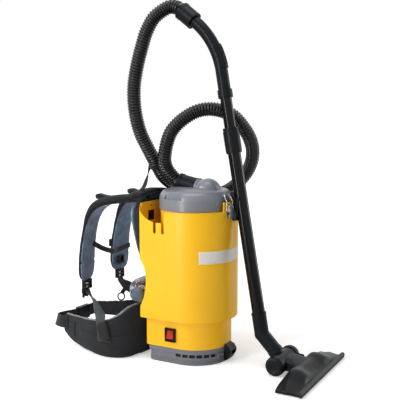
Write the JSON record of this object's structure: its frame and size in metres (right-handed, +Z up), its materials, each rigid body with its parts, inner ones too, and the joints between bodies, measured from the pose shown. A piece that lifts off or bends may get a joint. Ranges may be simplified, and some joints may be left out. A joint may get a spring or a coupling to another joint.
{
  "type": "backpack vacuum cleaner",
  "caption": "Backpack vacuum cleaner with a padded harness, lidded dust tank, ribbed hose, telescopic wand and wheeled floor tool.",
  "frame": {"origin": "on the floor, under the axis of the dust tank", "axes": "+X points to the rear, away from the wearer; -Y is the wearer's left; +Z is up"},
  "size_m": [0.8437, 0.3478, 1.0036],
  "materials": {
    "yellow_shell": "semi-gloss moulded plastic",
    "lid_grey": "fine-grained moulded plastic",
    "base_grey": "satin moulded plastic",
    "black_plastic": "satin moulded plastic",
    "wand_black": "polished",
    "hose_black": "semi-gloss ribbed plastic",
    "latch_steel": "plated wire and sheet",
    "motor_metal": "cast and machined",
    "seal_rubber": "matte",
    "wheel_rubber": "matte",
    "brush_bristle": "dense short bristles",
    "basket_plastic": "moulded",
    "filter_cloth": "woven filter cloth",
    "filter_paper": "filter paper",
    "filter_foam": "open-cell foam",
    "pad_cloth": "blue-grey fleece and mesh",
    "harness_cloth": "charcoal woven cloth",
    "rocker_red": "translucent red"
  },
  "bodies": {
    "unit": {"outer_shell": "yellow_shell", "tank_body": "yellow_shell", "base_pan": "base_grey", "exhaust_filter": "filter_foam", "base_catch": "base_grey", "power_inlet": "black_plastic", "motor_can": "motor_metal", "motor_gaskets": "seal_rubber", "filter_basket": "basket_plastic", "cloth_filter": "filter_cloth", "dust_bag": "filter_paper", "lid_seal": "seal_rubber", "latch_plate_left": "latch_steel", "latch_plate_right": "latch_steel", "switch_bezel": "black_plastic", "wand_clip": "black_plastic", "clip_screws": "latch_steel", "hose_lid_run": "hose_black", "hose_handle_run": "hose_black", "wand_outer_tube": "wand_black", "neck_elbow": "black_plastic", "back_plate": "black_plastic", "plate_screws": "latch_steel", "back_pad": "pad_cloth", "lumbar_pad": "pad_cloth", "shoulder_pad_left": "pad_cloth", "shoulder_pad_right": "pad_cloth", "yoke": "harness_cloth", "lifter_straps": "harness_cloth", "hose_loop": "harness_cloth", "chest_strap": "harness_cloth", "chest_buckle": "black_plastic", "strap_adjusters": "black_plastic", "lower_straps": "harness_cloth", "spare_buckle_plug": "black_plastic", "pull_ring": "black_plastic", "belt_wing_left": "harness_cloth", "belt_wing_right": "harness_cloth", "belt_strap": "harness_cloth", "belt_buckle": "black_plastic"},
    "rotor": {"motor_rotor": "motor_metal"},
    "lid": {"lid": "lid_grey"},
    "inlet_swivel": {"inlet_cuff": "black_plastic"},
    "lever_left": {"latch_lever_left": "latch_steel"},
    "lever_right": {"latch_lever_right": "latch_steel"},
    "bail_left": {"latch_bail_left": "latch_steel"},
    "bail_right": {"latch_bail_right": "latch_steel"},
    "rocker": {"switch_rocker": "rocker_red"},
    "handle": {"handle_grip": "black_plastic", "wand_inner_tube": "wand_black"},
    "regulator": {"air_regulator": "black_plastic"},
    "hand_swivel": {"handle_cuff": "black_plastic"},
    "sleeve": {"lock_sleeve": "black_plastic"},
    "neck": {"neck_stub": "black_plastic"},
    "head": {"nozzle_head": "black_plastic", "brush_strips": "brush_bristle", "front_strip": "seal_rubber", "tool_axle": "latch_steel"},
    "wheel_left": {"wheel_left": "wheel_rubber"},
    "wheel_right": {"wheel_right": "wheel_rubber"}
  },
  "joints": [
    {"name": "rotor_spin", "type": "hinge", "parent": "unit", "child": "rotor", "pos_m": [0, 0, 0.12], "axis": [0, 0, 1], "continuous": true},
    {"name": "lid_lift", "type": "slide", "parent": "unit", "child": "lid", "axis": [0, 0, 1], "range_m": [0, 0.03], "deforming": ["hose_lid_run"]},
    {"name": "inlet_turn", "type": "hinge", "parent": "lid", "child": "inlet_swivel", "pos_m": [0.004, 0, 0.487], "axis": [-0.9781, 0, 0.2079], "continuous": true},
    {"name": "lever_left_swing", "type": "hinge", "parent": "unit", "child": "lever_left", "pos_m": [0.12226, -0.03048, 0.44], "axis": [-0.2419, -0.9703, 0], "range_deg": [0, 120]},
    {"name": "lever_right_swing", "type": "hinge", "parent": "unit", "child": "lever_right", "pos_m": [0.12226, 0.03048, 0.44], "axis": [0.2419, -0.9703, 0], "range_deg": [0, 120]},
    {"name": "bail_left_swing", "type": "hinge", "parent": "lever_left", "child": "bail_left", "pos_m": [0.11876, -0.02961, 0.431], "axis": [-0.2419, -0.9703, 0], "range_deg": [-157, 0]},
    {"name": "bail_right_swing", "type": "hinge", "parent": "lever_right", "child": "bail_right", "pos_m": [0.11876, 0.02961, 0.431], "axis": [0.2419, -0.9703, 0], "range_deg": [-157, 0]},
    {"name": "switch_rock", "type": "hinge", "parent": "unit", "child": "rocker", "pos_m": [-0.026, -0.0965, 0.082], "axis": [1, 0, 0], "range_deg": [0, 20]},
    {"name": "telescope", "type": "slide", "parent": "unit", "child": "handle", "axis": [-0.1736, 0, 0.9848], "range_m": [-0.07, 0.3], "deforming": ["hose_handle_run"]},
    {"name": "sleeve_slide", "type": "slide", "parent": "unit", "child": "sleeve", "axis": [-0.1736, 0, 0.9848], "range_m": [-0.008, 0], "stiffness_N_per_m": 400, "springref_m": 0.004},
    {"name": "regulator_slide", "type": "hinge", "parent": "handle", "child": "regulator", "pos_m": [-0.13788, 0, 0.76568], "axis": [0, -1, 0], "range_deg": [0, 3]},
    {"name": "hand_cuff_turn", "type": "hinge", "parent": "handle", "child": "hand_swivel", "pos_m": [-0.00243, 0, 0.93904], "axis": [-0.788, 0, 0.6157], "continuous": true},
    {"name": "neck_swivel", "type": "hinge", "parent": "unit", "child": "neck", "pos_m": [0.24028, 0, 0.05384], "axis": [0.6947, 0, -0.7193], "range_deg": [-60, 60]},
    {"name": "head_tilt", "type": "hinge", "parent": "neck", "child": "head", "pos_m": [0.26667, 0, 0.0265], "axis": [0, 1, 0], "range_deg": [-35, 30]},
    {"name": "wheel_left_turn", "type": "hinge", "parent": "head", "child": "wheel_left", "pos_m": [0.26667, -0.055, 0.0265], "axis": [0, 1, 0], "continuous": true},
    {"name": "wheel_right_turn", "type": "hinge", "parent": "head", "child": "wheel_right", "pos_m": [0.26667, 0.055, 0.0265], "axis": [0, 1, 0], "continuous": true}
  ],
  "couplings": [
    {"joint": "lever_left_swing", "follows": "lid_lift", "rad_per_m": 69.813},
    {"joint": "lever_right_swing", "follows": "lid_lift", "rad_per_m": 69.813},
    {"joint": "bail_left_swing", "follows": "lid_lift", "rad_per_m": -90.757},
    {"joint": "bail_right_swing", "follows": "lid_lift", "rad_per_m": -90.757}
  ]
}
